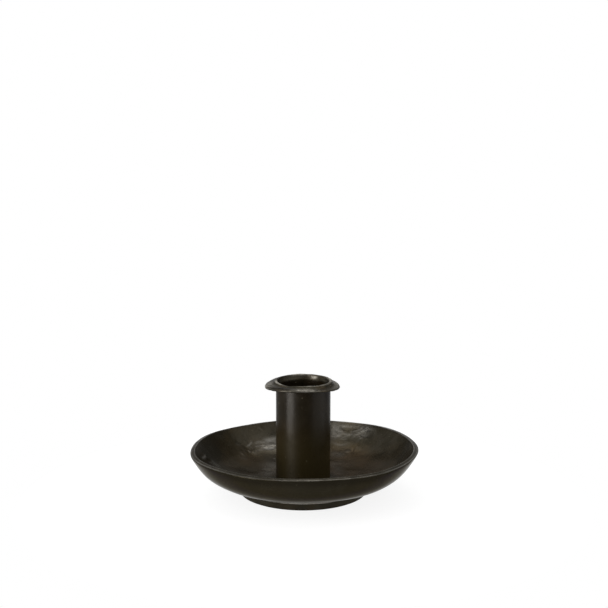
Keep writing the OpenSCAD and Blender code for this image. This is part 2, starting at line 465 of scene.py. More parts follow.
def colour(hexadecimal):
    """Linear colour from a screen colour such as 22201a."""
    screen = [int(hexadecimal[i:i + 2], 16) / 255 for i in (0, 2, 4)]
    linear = [c / 12.92 if c <= 0.04045 else ((c + 0.055) / 1.055) ** 2.4 for c in screen]
    return (*linear, 1.0)


def patina(name, dark, light, warm, worn_and_lit, rough, blotch=11.0, grain_depth=0.012, seed=0.0, painted_bounce=None,
           metal=0.6, gloss=0.06, calm_tint=None):
    """Dark waxed metal: blotches between two tones with a warm cast, lighter where it wears and where
    highlights are painted.

    It reads the piece's attributes for wear with painted highlights, for stains with painted shade, for rust
    and for calm. Calm metal is smoother, its blotches fade, and its gloss goes to calm_tint. The painted
    bounce light is a lighter colour that stands in for light thrown up from below, given with the two
    heights, in millimetres, between which it comes in from above.
    """
    shader = Shader(name)
    clouds = shader.noise(blotch, detail=4, rough=0.6, warp=0.6, offset=seed)
    warmth = shader.noise(blotch * WARM_SHARE, detail=3, offset=seed + WARM_OFFSET)
    grain = shader.noise(GRAIN_SIZE, detail=4, rough=0.7, offset=seed + GRAIN_OFFSET)
    lively = shader.ramp(shader.attribute("calm"), 0.0, 1.0, 1.0, CALM_BLOTCHES)
    blotches = shader.math("MULTIPLY", lively, shader.ramp(clouds, *BLOTCH_MASK))
    tone = shader.blend(blotches, colour(dark), colour(light))
    warm_cast = shader.math("MULTIPLY", lively, shader.ramp(warmth, *WARM_MASK))
    tone = shader.blend(warm_cast, tone, colour(warm))
    # Painted bounce light: a lighter tone towards the bottom stands in for light thrown up from below
    if painted_bounce:
        glow, low, high = painted_bounce
        tone = shader.blend(shader.ramp(shader.height(), high * MM, low * MM), tone, colour(glow))
    # Lighter worn tone where the metal is rubbed, and where highlights are painted
    rubbed_and_lit = shader.math("MULTIPLY", shader.attribute("wear_and_highlight"), shader.ramp(grain, *RUB_MASK))
    tone = shader.blend(rubbed_and_lit, tone, colour(worn_and_lit))
    # Darker tone where the metal is stained, and where shade is painted
    tone = shader.blend(shader.attribute("stain_and_shade"), tone, colour(STAIN_AND_SHADE_TONE))
    tone = shader.blend(shader.attribute("rust"), tone, colour(RUST_TONE))
    specks = shader.specks(DUST_SPACING, DUST_R)
    dust = shader.math("MULTIPLY", specks, shader.ramp(clouds, *DUST_MASK))
    tone = shader.blend(dust, tone, colour(DUST_TONE))
    uneven = shader.math("ADD", shader.ramp(clouds, *BLOTCH_ROUGH), shader.ramp(grain, *GRAIN_ROUGH))
    smoothed = shader.ramp(shader.attribute("calm"), 0.0, 1.0, rough, rough - CALM_SMOOTHER)
    tint = colour(GLOSS_TINT)
    if calm_tint:
        tint = shader.blend(shader.attribute("calm"), tint, colour(calm_tint))
    shader.set_surface("Base Color", tone)
    shader.set_surface("Roughness", shader.math("ADD", uneven, smoothed))
    shader.set_surface("Normal", shader.bump(grain, grain_depth))
    shader.set_surface("Metallic", metal)
    shader.set_surface("Specular IOR Level", gloss)
    shader.set_surface("Specular Tint", tint)
    return shader.material


def felt_material():
    """Pressed wool felt: matted fibres with a faint sheen."""
    shader = Shader("felt")
    fibres = shader.noise(FIBRE_SIZE, detail=6, rough=0.75, warp=2.0)
    clouds = shader.noise(FELT_PATCH, detail=2)
    tone = shader.blend(shader.ramp(fibres, *FIBRE_MASK), colour(FELT_DARK), colour(FELT_LIGHT))
    tone = shader.blend(shader.ramp(clouds, *FELT_PATCH_MASK), tone, colour(FELT_WARM))
    shader.set_surface("Base Color", tone)
    shader.set_surface("Roughness", shader.ramp(fibres, *FELT_ROUGH))
    shader.set_surface("Normal", shader.bump(fibres, FIBRE_DEPTH))
    shader.set_surface("Sheen Weight", FELT_SHEEN)
    return shader.material


def steel(name, tone, seed):
    """Plated steel with soft patches and a fine grain."""
    shader = Shader(name)
    clouds = shader.noise(STEEL_PATCH, detail=3, offset=seed)
    grain = shader.noise(STEEL_GRAIN_SIZE, detail=3, offset=seed + STEEL_GRAIN_OFFSET)
    plating = shader.blend(shader.ramp(clouds, *STEEL_MASK), colour(tone), colour(STEEL_TONE))
    shader.set_surface("Base Color", plating)
    shader.set_surface("Roughness", shader.ramp(grain, *STEEL_ROUGH))
    shader.set_surface("Normal", shader.bump(grain, STEEL_GRAIN_DEPTH))
    shader.set_surface("Metallic", 1.0)
    return shader.material


dish_finish = patina(
    "dish_patina", dark="2b271d", light="38342b", warm="352d1e", worn_and_lit="93908a",
    rough=0.28, seed=1.0, calm_tint="b2aea4",
)
# The foot's near-white worn tone paints the highlight line along its braze
foot_finish = patina(
    "foot_patina", dark="322f27", light="3b382e", warm="3a3225", worn_and_lit="f4efe2",
    rough=0.36, blotch=6, seed=2.0,
)
# The tube's lower part gets a painted bounce light standing in for light from the lit dish
tube_finish = patina(
    "tube_patina", dark="1b150a", light="211b10", warm="241a0c", worn_and_lit="5c564b",
    rough=0.34, blotch=9, grain_depth=0.004, seed=3.0, painted_bounce=("362e1a", 12, 40), metal=0.2, gloss=0.3,
)
collar_finish = patina(
    "collar_patina", dark="2d2a22", light="3b372d", warm="3c3325", worn_and_lit="b2ada2",
    rough=0.32, blotch=4, seed=4.0,
)
seat_finish = patina(
    "seat_patina", dark="2d2a23", light="3e3a32", warm="392f23", worn_and_lit="6a645a",
    rough=0.45, blotch=5, seed=5.0,
)


# Dish

# Zones of the outline and the longest step in each
ZONE_UNDER, ZONE_OUTER, ZONE_BAND, ZONE_INNER, ZONE_HUB = range(5)
ZONE_STEPS = [2.6, 1.3, 0.3, 0.8, 2.4]
HOLE_R = SCREW_R + SCREW_GAP
RECESS_R = WASHER_R + RECESS_GAP
RECESS_Z = UNDERSIDE_Z + WASHER_T
SPIGOT_R = BORE_R - LEDGE_W - SPIGOT_GAP
BAND_IN_R = DISH_R - RIM_W

# Radii between which the inside's relief comes in, radii between which it loses the
# faded share next to the band, and radii between which the outside's relief and calm
# come in
INSIDE_STARTS = (13.5, 17.0)
INSIDE_FADES = (BAND_IN_R - 1.0, BAND_IN_R - 0.1)
FADED_SHARE = 0.7
OUTSIDE_STARTS = (UNDERSIDE_R, UNDERSIDE_R + 2)
# Unevenness: depth, size and seed of each noise. The hammer's depths are shares of the
# depth that its patch has
INSIDE_DENTS = [(0.17, 13.0, 1), (0.08, 5.0, 2), (0.02, 1.6, 8)]
OUTSIDE_DENTS = [(0.08, 12.0, 4)]
BAND_DENTS = [(0.05, 3.0, 3)]
HAMMER_DENTS = [(1, 2.2, 14), (0.5, 1.1, 15)]
# Unevenness of the band's wear and painted highlight, of the painted sheen and of the rust, the same way
BAND_UNEVEN = [(0.5, 7.0, 9)]
SHEEN_UNEVEN = [(0.5, 6.0, 16)]
RUST_UNEVEN = [(0.6, 5.0, 17)]

# Bright lines along the rim's band, rubbed edges with a painted highlight: place across it as a share,
# spread and strength.
# Then how much stronger the painted highlight is at the sides, the wear and painted sheen between the lines,
# the mean of the unevenness, and where across the band the lightening comes in
BAND_LINES = [(0.2, 0.12, 0.4), (0.95, 0.07, 0.4)]
SIDE_HIGHLIGHT = 1.2
BAND_WEAR_AND_SHEEN = 0.06
BAND_LIGHTENING_MEAN = 0.75
BAND_LIGHTENING_STARTS = (0.02, 0.12)
# Painted highlight line at the foot of the outer wall: where it ends and how strong it is
PAINTED_BASE_LINE_ENDS = (UNDERSIDE_R + 0.2, UNDERSIDE_R + 0.9)
PAINTED_BASE_LINE = 0.6
# How much a fully shining mark lightens its colour, as burnished metal and a painted highlight
MARK_HIGHLIGHT = 0.5
# Painted shade under the rim's outer edge: its strength and the radii between which it comes in.
# Then the radii between which the rust of the dish's floor ends
RIM_SHADE = 0.45
RIM_SHADE_STARTS = (DISH_R - 2.5, DISH_R - 0.6)
RUST_ENDS = (34.0, 46.0)

# Seed of the brush marks, least share of its family's height that a mark has, and
# share of a mark's length up the slope that counts as a change of radius
BRUSH_SEED = 7
LEAST_HEIGHT = 0.4
SLOPE_SHARE = 0.8
# Shape of a mark: least half length, solid share of it, bow, and the least width for the bow
LEAST_MARK = 0.1
SOLID_SHARE = 0.35
MARK_BOW = 0.04
BOW_WIDTH = 0.5

# Marks left in the dish's inside: from and to (angle, radius), width, height and shine, which is burnished
# metal and a painted highlight
MARKS = [
    ((121, 41.3), (110, 40.3), 0.7, 0.16, 0.9),
    ((119, 42.6), (107, 42.4), 0.9, -0.10, 0.3),
    ((117, 44.7), (106, 45.3), 1.3, 0.14, 0.6),
    ((131, 43.4), (124.4, 45.3), 0.5, 0.06, 0.5),
    ((130.3, 42.6), (124.6, 44.2), 0.6, -0.06, 0.0),
    ((132.9, 42.3), (131.7, 40.2), 0.5, -0.08, 0.0),
    ((131.6, 42.0), (130.6, 40.4), 0.4, 0.06, 0.4),
    ((138.5, 42.2), (137.9, 38.4), 0.6, 0.05, 0.2),
    ((137.0, 41.6), (136.2, 38.0), 0.6, -0.05, 0.0),
    ((117.0, 32.6), (115.8, 32.4), 0.45, 0.12, 0.9),
    ((150, 21.6), (141, 17.2), 0.7, -0.12, 0.0),
    ((146, 24.0), (132, 19.6), 1.6, 0.12, 0.5),
    ((183, 47.3), (172.5, 46.5), 0.7, 0.26, 0.9),
    ((176.6, 45.5), (173.4, 44.6), 1.0, -0.45, 0.0),
    ((172.4, 44.2), (172.3, 40.4), 1.6, 0.1, 0.4),
    ((130.3, 48.2), (128.5, 48.1), 0.4, -0.12, 0.0),
    ((117, 50.0), (114.7, 48.6), 0.5, -0.12, 0.0),
    ((118.4, 50.0), (116.1, 48.6), 0.5, 0.04, 0.1),
    ((64.6, 48.5), (61.2, 48.7), 0.36, -0.2, 0.0),
    ((60.6, 48.4), (58.4, 48.3), 0.36, -0.2, 0.0),
    ((56.4, 47.4), (53.0, 47.3), 0.4, -0.16, 0.0),
    ((52.4, 47.0), (49.3, 46.6), 0.4, -0.16, 0.0),
    ((60.3, 47.5), (50.4, 50.1), 0.6, 0.07, 0.4),
    ((57.2, 47.0), (47.6, 50.0), 0.5, 0.07, 0.5),
    ((55.2, 46.6), (45.4, 49.8), 0.7, -0.06, 0.0),
    ((66.2, 45.6), (60.2, 45.5), 0.5, 0.06, 0.2),
    ((65.8, 44.9), (60.4, 44.8), 0.4, -0.06, 0.0),
    ((53.2, 41.9), (51.5, 38.5), 0.8, -0.14, 0.0),
    ((51.5, 38.5), (52.8, 33.9), 0.9, -0.12, 0.0),
    ((57.7, 39.5), (53.9, 40.0), 1.0, 0.1, 0.3),
    ((57.1, 25.1), (46.1, 28.2), 0.8, -0.08, 0.0),
    ((49.5, 50.5), (46.6, 49.8), 0.45, -0.16, 0.0),
    ((72.1, 49.8), (67.0, 48.3), 1.2, 0.05, 0.25),
    ((67.4, 49.4), (61.4, 50.0), 0.7, 0.06, 0.4),
    ((65.7, 47.2), (56.0, 47.2), 0.7, 0.06, 0.4),
    ((70.6, 42.9), (58.6, 42.7), 0.6, 0.06, 0.2),
]
# Families of brush marks: middle (angle, radius), spread, count, turn from the
# rim's direction, length, width, height and shine, which is burnished metal and a painted highlight
BRUSHED = [
    ((58, 48.3), (11, 1.8), 46, (-14, 16), (3, 8), (0.4, 0.9), 0.07, 0.4),
    ((113, 42.5), (9, 2.6), 34, (4, 8), (4, 10), (0.35, 0.8), 0.07, 0.4),
    ((135, 42.0), (12, 5.0), 26, (60, 30), (2, 6), (0.4, 0.9), 0.05, 0.2),
    ((62, 38.0), (14, 6.0), 30, (-20, 40), (3, 9), (0.5, 1.2), 0.05, 0.15),
    ((138, 22.0), (14, 3.0), 20, (20, 25), (2, 6), (0.5, 1.0), 0.05, 0.3),
    ((20, 44.0), (40, 5.0), 30, (0, 30), (5, 14), (0.8, 2.0), 0.015, 0.03),
    ((270, 42.0), (70, 8.0), 70, (0, 40), (4, 12), (0.6, 1.6), 0.03, 0.06),
    ((180, 36.0), (180, 14.0), 120, (0, 60), (4, 12), (0.7, 2.0), 0.02, 0.04),
]
# Patches that show the hammer and carry a painted sheen: angle, radius, spread
# round and across, depth of the hammer marks, and painted sheen
BEATEN = [
    (56, 47.5, 10, 3.5, 0.07, 0.0),
    (73, 47.5, 6, 3.5, 0.05, 0.22),
    (114, 43.0, 9, 3.5, 0.05, 0.13),
    (50, 49.5, 5, 1.8, 0.09, 0.16),
    (60, 31.0, 11, 8.0, 0.03, 0.0),
    (60, 36.0, 5, 3.0, 0.03, 0.14),
    (50, 24.0, 6, 5.0, 0.02, 0.22),
    (30, 18.0, 5, 4.0, 0.02, 0.22),
    (127, 24.5, 5, 4.5, 0.02, 0.35),
    (152, 18.0, 5, 4.0, 0.02, 0.3),
    (207, 47.5, 6, 3.0, 0.02, 0.2),
]
# Where the dish's floor is stained a warmer brown: angle, spread and strength
RUSTY = [(55, 24, 0.28), (5, 40, 0.28), (150, 30, 0.12)]


def dish_outline():
    """Outline of the dish: underside, outer wall, rim band, inside, spigot."""
    outer_edge = (DISH_R, RIM_Z)
    inner_edge = (BAND_IN_R, RIM_Z + RIM_RISE)
    outer_end = (DISH_R, RIM_Z + OUTER_END * RIM_RISE)
    inner_end = (BAND_IN_R, RIM_Z + INNER_END * RIM_RISE)
    outer = wall_curve((UNDERSIDE_R, UNDERSIDE_Z), outer_end, OUTER_HANDLES, OUTER_PARTS)
    inner = wall_curve((FLOOR_R, FLOOR_Z), inner_end, INNER_HANDLES, INNER_PARTS)
    corners = [
        (HOLE_R, RECESS_Z, ROUND_EDGE, ZONE_UNDER),
        (RECESS_R, RECESS_Z, ROUND_SMALL, ZONE_UNDER),
        (RECESS_R, UNDERSIDE_Z, ROUND_SOFT, ZONE_UNDER),
        (UNDERSIDE_R, UNDERSIDE_Z, 0, ZONE_OUTER),
        *((r, z, 0, ZONE_OUTER) for r, z in outer[::2]),
        (DISH_R, RIM_Z + EDGE_START * RIM_RISE, 0, ZONE_OUTER),
        (*outer_edge, RIM_OUT_ROUND, ZONE_BAND),
        (*inner_edge, RIM_IN_ROUND, ZONE_BAND),
        *((r, z, 0, ZONE_INNER) for r, z in reversed(inner)),
        (SPIGOT_R, FLOOR_Z, 0, ZONE_HUB),
        (SPIGOT_R, FLOOR_Z + SPIGOT_H, ROUND_SOFT, ZONE_HUB),
        (HOLE_R, FLOOR_Z + SPIGOT_H, ROUND_SOFT, ZONE_HUB),
    ]
    return rounded(corners, ZONE_STEPS)


def brush_marks():
    """The named marks and the seeded families, as (angle, radius) ends with width, height and shine."""
    marks = list(MARKS)
    random = np.random.default_rng(BRUSH_SEED)
    for (angle, radius), spreads, count, (turn, swing), lengths, widths, height, shine in BRUSHED:
        for _ in range(count):
            a = angle + spreads[0] * random.uniform(-1, 1)
            r = radius + spreads[1] * random.uniform(-1, 1)
            heading = math.radians(turn + swing * random.uniform(-1, 1))
            half = random.uniform(*lengths) / 2
            width = random.uniform(*widths)
            rise = height * random.uniform(LEAST_HEIGHT, 1.0) * random.choice((-1, 1, 1))
            gloss = shine * random.uniform(0, 1) * (rise > 0)
            da = math.degrees(half * math.cos(heading) / r)
            dr = half * math.sin(heading) * SLOPE_SHARE
            marks.append(((a - da, r - dr), (a + da, r + dr), width, rise, gloss))
    return marks


def inside_relief(outline, angles):
    """Height and shine of all marks on the dish's inside, on the grid of its outline and angles."""
    path = np.concatenate([[0], np.cumsum(np.hypot(*np.diff(outline[:, :2], axis=0).T))])
    inner = np.nonzero(outline[:, 2] == ZONE_INNER)[0]
    radii, path = outline[inner, 0], path[inner]
    order = np.argsort(radii)
    relief = np.zeros((len(outline), len(angles)))
    shine = np.zeros_like(relief)
    for (a0, r0), (a1, r1), width, height, gloss in brush_marks():
        middle_a, middle_r = (a0 + a1) / 2, (r0 + r1) / 2
        start, end = np.interp((r0, r1), radii[order], path[order])
        scale = math.radians(1) * middle_r
        half = np.array(((a1 - a0) * scale, end - start)) / 2
        length = max(float(np.linalg.norm(half)), LEAST_MARK)
        reach = length + 3 * width
        sideways = turn_from(middle_a, angles) * scale
        upwards = path - (start + end) / 2
        columns = np.nonzero(np.abs(sideways) < reach)[0]
        rows = np.nonzero(np.abs(upwards) < reach)[0]
        if not len(columns) or not len(rows):
            continue
        side, up = sideways[columns][None, :], upwards[rows][:, None]
        along = (side * half[0] + up * half[1]) / length
        across = (up * half[0] - side * half[1]) / length
        fade = 1 - smooth_step(np.abs(along), SOLID_SHARE * length, length + width)
        bend = across - MARK_BOW * along * along / max(width, BOW_WIDTH)
        body = np.exp(-(bend / width) ** 2) * fade
        block = np.ix_(inner[rows], columns)
        relief[block] += height * body
        shine[block] = np.maximum(shine[block], gloss * body)
    return relief, shine


def beaten_patches(base_r, angles):
    """Depth of the hammer marks and of the painted sheen, on the grid of radii and angles."""
    hammering = np.zeros((len(base_r), len(angles)))
    painted_sheen = np.zeros_like(hammering)
    for angle, radius, spread, depth, hammered, gloss in BEATEN:
        arc = turn_from(angle, angles) * math.radians(radius)
        patch = np.exp(-(arc / spread) ** 2 - ((base_r - radius) / depth) ** 2)
        hammering, painted_sheen = hammering + hammered * patch, painted_sheen + gloss * patch
    return hammering, painted_sheen


def rubbed_and_lit_band(points, base_r, angles):
    """Wear and painted highlight of the rim's band, brighter at the sides, on the grid of radii and angles.
    """
    across = (DISH_R - base_r) / RIM_W
    lines = sum(
        strength * np.exp(-((across - place) / spread) ** 2)
        for place, spread, strength in BAND_LINES
    )
    sides = 1 + SIDE_HIGHLIGHT * np.cos(np.radians(angles)) ** 2
    uneven = BAND_LIGHTENING_MEAN + layered(points, BAND_UNEVEN)
    return smooth_step(across, *BAND_LIGHTENING_STARTS) * (BAND_WEAR_AND_SHEEN + lines * sides) * uneven


def make_dish():
    outline = dish_outline()
    angles = around(DISH_COLUMNS)
    base_r, base_z, zone = (outline[:, k][:, None] for k in range(3))
    share = np.maximum(0, (base_r - UNDERSIDE_R) / (DISH_R - UNDERSIDE_R)) ** WAVE_POWER
    r = base_r + share * RIM_WAVE_R * waves(angles, RIM_RADIUS)
    z = base_z + share * RIM_WAVE_Z * waves(angles, RIM_HEIGHT)
    points = turned_grid(r, z, angles)
    inside = (zone == ZONE_INNER) * smooth_step(base_r, *INSIDE_STARTS)
    band = (zone == ZONE_BAND) * 1.0
    outside = (zone == ZONE_OUTER) * smooth_step(base_r, *OUTSIDE_STARTS)
    marks, shine = inside_relief(outline, angles)
    hammering, painted_sheen = beaten_patches(base_r, angles)
    dents = layered(points, INSIDE_DENTS) + hammering * layered(points, HAMMER_DENTS)
    relief = inside * (1 - FADED_SHARE * smooth_step(base_r, *INSIDE_FADES)) * (dents + marks)
    relief = relief + band * layered(points, BAND_DENTS) + outside * layered(points, OUTSIDE_DENTS)
    points = pushed(points, relief)
    wear_and_highlight = (
        # rim band: rubbed edges with a painted highlight, brighter at the sides
        band * rubbed_and_lit_band(points, base_r, angles)
        # painted highlight line along the foot of the outer wall
        + PAINTED_BASE_LINE * (zone == ZONE_OUTER) * (1 - smooth_step(base_r, *PAINTED_BASE_LINE_ENDS))
        # marks' shine: burnished metal and a painted highlight
        + MARK_HIGHLIGHT * shine
        # painted sheen on the beaten patches
        + inside * painted_sheen * (1 + layered(points, SHEEN_UNEVEN))
    )
    # Painted shade under the overhanging rim
    stain_and_shade = RIM_SHADE * outside * smooth_step(base_r, *RIM_SHADE_STARTS)
    rust = inside * patches(angles, RUSTY) * (1 - smooth_step(base_r, *RUST_ENDS))
    rust = rust * (1 + layered(points, RUST_UNEVEN))
    piece = skin("dish_body", points, dish_finish, wear_and_highlight, calm=outside, stain_and_shade=stain_and_shade, rust=rust)
    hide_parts("dish")


# Foot and felt

# Unevenness of the foot's outside, and how far from its edges that comes in
FOOT_DENTS = [(0.05, 4.0, 5), (0.03, 1.5, 6)]
FOOT_DENTS_START = 0.6
# Braze bead, brighter metal lightened further into a painted highlight line: heights between which it comes
# in, how far inside the foot's radius it starts, the mean of its lightening and the lightening's unevenness
BRAZE_STARTS = (UNDERSIDE_Z - BRAZE_H, UNDERSIDE_Z - 0.5)
BRAZE_DEPTH = 0.5
BRAZE_HIGHLIGHT = 0.8
BRAZE_UNEVEN = [(0.2, 3.0, 10)]


def make_foot():
    inner_r = FOOT_R - FOOT_W
    lip_in_r, lip_out_r = inner_r + FELT_LIP, FOOT_R - FELT_LIP
    groove_z = FOOT_Z + FELT_T - FELT_PROUD
    corners = [
        (inner_r, FOOT_Z, FOOT_ROUND),
        (lip_in_r, FOOT_Z, ROUND_EDGE),
        (lip_in_r, groove_z, ROUND_SMALL),
        (lip_out_r, groove_z, ROUND_SMALL),
        (lip_out_r, FOOT_Z, ROUND_EDGE),
        (FOOT_R, FOOT_Z, FOOT_ROUND),
        *((FOOT_TOP_R + out, UNDERSIDE_Z - down, rounding) for out, down, rounding in BRAZE_BEAD),
        (inner_r, UNDERSIDE_Z, ROUND_LEAST),
    ]
    r, z, _, points = turned_shape(corners, FOOT_STEP, FOOT_COLUMNS)
    outer = smooth_step(r, FOOT_R - FOOT_DENTS_START, FOOT_R)
    raised = smooth_step(z, FOOT_Z, FOOT_Z + FOOT_DENTS_START)
    points = pushed(points, outer * raised * layered(points, FOOT_DENTS))
    # Braze bead: brighter metal with a painted highlight line
    braze = smooth_step(z, *BRAZE_STARTS) * (r > FOOT_R - BRAZE_DEPTH)
    wear_and_highlight = braze * (BRAZE_HIGHLIGHT + layered(points, BRAZE_UNEVEN))
    piece = skin("foot_body", points, foot_finish, wear_and_highlight)
    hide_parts("foot_ring")


def make_felt():
    inner_r = FELT_R - FELT_W
    corners = [
        (inner_r, 0, ROUND_FELT),
        (FELT_R, 0, ROUND_FELT),
        (FELT_R, FELT_T, ROUND_SMALL),
        (inner_r, FELT_T, ROUND_SMALL),
    ]
    points = turned_shape(corners, FELT_STEP, FELT_COLUMNS)[-1]
    piece = skin("felt_pad", points, felt_material())
    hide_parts("felt_ring")


# Tube and collar

# Where the tube's lower half has a painted highlight and where it has painted shade: angle, spread and
# strength, and the heights between which each ends
PAINTED_TUBE_HIGHLIGHT = [(245, 12, 0.4)]
TUBE_HIGHLIGHT_ENDS = (19.0, 30.0)
PAINTED_TUBE_SHADE = [(196, 22, 0.6)]
TUBE_SHADE_ENDS = (8.0, 27.0)


def make_tube():
    ledge_r = BORE_R - LEDGE_W
    corners = [
        (ledge_r, FLOOR_Z, ROUND_EDGE),
        (TUBE_R, FLOOR_Z, ROUND_EDGE),
        (TUBE_R, TUBE_TOP_Z, ROUND_SMALL),
        (BORE_R, TUBE_TOP_Z, ROUND_SMALL),
        (BORE_R, LEDGE_Z, ROUND_LEAST),
        (ledge_r, LEDGE_Z, ROUND_LEAST),
    ]
    r, z, angles, points = turned_shape(corners, TUBE_STEP, TUBE_COLUMNS)
    outside = r > TUBE_R - ROUND_SOFT
    # Painted highlight on the lower part of the tube
    wear_and_highlight = outside * (1 - smooth_step(z, *TUBE_HIGHLIGHT_ENDS)) * patches(angles, PAINTED_TUBE_HIGHLIGHT)
    # Painted shade on the lower left of the tube
    stain_and_shade = outside * (1 - smooth_step(z, *TUBE_SHADE_ENDS)) * patches(angles, PAINTED_TUBE_SHADE)
    piece = skin("tube_body", points, tube_finish, wear_and_highlight, stain_and_shade=stain_and_shade)
    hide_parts("socket_tube")


# Points round the collar, as shares of their part's width and height. A flange point
# goes on with its shares of the waves of edge, crest and swell, of edge wear and of face
# wear, each with painted highlight, a crest point with that of crest wear and painted highlight, and a flare
# point with that of the crest's wave, which is also its share of the painted mouth highlight
FLANGE = [
    (0, 0, 0, 0, 0, 0, 0),
    (0.3, 0.02, 0.3, 0, 0, 0, 0.2),
    (0.7, 0.08, 0.8, 0, 0, 0.3, 0.2),
    (0.92, 0.12, 1, 0, 0, 0.8, 0.3),
    (0.99, 0.17, 1, 0, 0, 1, 0.5),
    (1, 0.23, 1, 0, 0, 1, 0.7),
    (0.97, 0.3, 1, 0, 0.1, 0.9, 0.9),
    (0.88, 0.4, 0.95, 0, 0.4, 0.2, 1),
    (0.72, 0.48, 0.8, 0.05, 0.8, 0, 1),
    (0.54, 0.535, 0.6, 0.15, 1, 0, 1),
    (0.34, 0.585, 0.4, 0.3, 1, 0, 0.8),
    (0.2, 0.64, 0.25, 0.5, 0.8, 0, 0.4),
    (0.08, 0.74, 0.1, 0.7, 0.5, 0, 0.1),
    (0.01, 0.87, 0, 0.9, 0.2, 0, 0),
]
CREST = [(0.85, 0.94, 0.9), (0.6, 1, 1), (0.35, 1, 1), (0.12, 0.95, 0.8), (0, 0.82, 0.4)]
FLARE = [(0.75, 0.62, 0.7), (0.4, 0.38, 0.3), (0, 0.24, 0)]
# Where the collar is rubbed lighter, partly as painted highlights, and where its mouth has a painted
# highlight: angle, spread and strength
RUBBED_AND_LIT_FACE = [(273, 17, 0.62), (186, 15, 0.5), (10, 20, 0.5), (95, 50, 0.5)]
RUBBED_AND_LIT_EDGE = [(238, 8, 0.15), (350, 15, 0.1), (186, 15, 0.2), (90, 60, 0.5)]
RUBBED_AND_LIT_CREST = [(200, 20, 1.2), (284, 20, 0.2), (325, 24, 0.35), (8, 22, 1.3), (96, 20, 1.4)]
PAINTED_MOUTH_HIGHLIGHT = [(65, 8, 0.7), (98, 14, 0.2)]
# Where its face has painted shade and where it shows the file
PAINTED_COLLAR_SHADE = [(236, 21, 0.75)]
FILED = [(350, 22, 1), (200, 25, 0.6)]
# Strokes of the file: size and seed of their noise, slant, how fast they change along
# their length, depth, shine and darkness
STROKE_SIZE = 1.1
STROKE_SEED = 11
STROKE_SLANT = 1.6
STROKE_CHANGE = 0.12
STROKE_DEPTH = 0.13
STROKE_SHINE = 1.2
STROKE_DARK = 2.5
# Where its edge is beaten up and its crest down, in millimetres
RAISED = [(150, 32, 0.75), (33, 30, 0.75)]
SUNK = [(238, 17, 0.5), (168, 24, -0.4), (105, 45, -0.35), (20, 30, -0.35)]
# Unevenness of the forged metal and of its wear: strength, size and seed
COLLAR_DENTS = [(0.12, 3.2, 6), (0.05, 1.2, 7)]
COLLAR_UNEVEN = [(0.5, 2.4, 12), (0.4, 0.9, 13)]
# Wave shares between which the forged unevenness comes in, wear of the whole edge, and
# the mean of the wear and painted highlights
FORGED_STARTS = (0.2, 0.8)
EDGE_WEAR = 0.04
COLLAR_WEAR_MEAN = 0.9


def spline(rows, parts):
    """Smooth curve through rows of numbers, with that many parts between two rows."""
    rows = np.array(rows, dtype=float)
    padded = np.vstack([2 * rows[0] - rows[1], rows, 2 * rows[-1] - rows[-2]])
    curve = []
    for k in range(1, len(padded) - 2):
        a, b, c, d = padded[k - 1:k + 3]
        for t in np.arange(parts) / parts:
            curve.append(0.5 * (2 * b + (c - a) * t + (2 * a - 5 * b + 4 * c - d) * t * t
                                + (3 * b - a - 3 * c + d) * t ** 3))
    curve.append(rows[-1])
    return curve


def collar_outline():
    """Outline of the collar, each point with its shares of the waves and of the wear."""
    mouth_r = BORE_R + MOUTH_FLARE
    socket_r = TUBE_R + BRAZE_GAP
    neck_r = socket_r + COLLAR_NECK
    above_tube = CREST_Z - TUBE_TOP_Z
    rows = []
    for out, up, edge, crest, swell, tip, face in FLANGE:
        place = (neck_r + out * (COLLAR_R - neck_r), COLLAR_Z + up * COLLAR_H)
        rows.append((*place, edge, crest, swell, tip, face, 0, 0))
    for out, up, top in CREST:
        rows.append((mouth_r + out * CREST_W, TUBE_TOP_Z + up * above_tube, 0, 1, 0, 0, 0, top, 0))
    for out, up, crest in FLARE:
        rows.append((BORE_R + out * MOUTH_FLARE, TUBE_TOP_Z + up * above_tube, 0, crest, 0, 0, 0, 0, crest))
    plain = [(BORE_R, TUBE_TOP_Z), (socket_r, TUBE_TOP_Z), (socket_r, COLLAR_Z)]
    return np.array(spline(rows, COLLAR_PARTS) + [(r, z, 0, 0, 0, 0, 0, 0, 0) for r, z in plain])


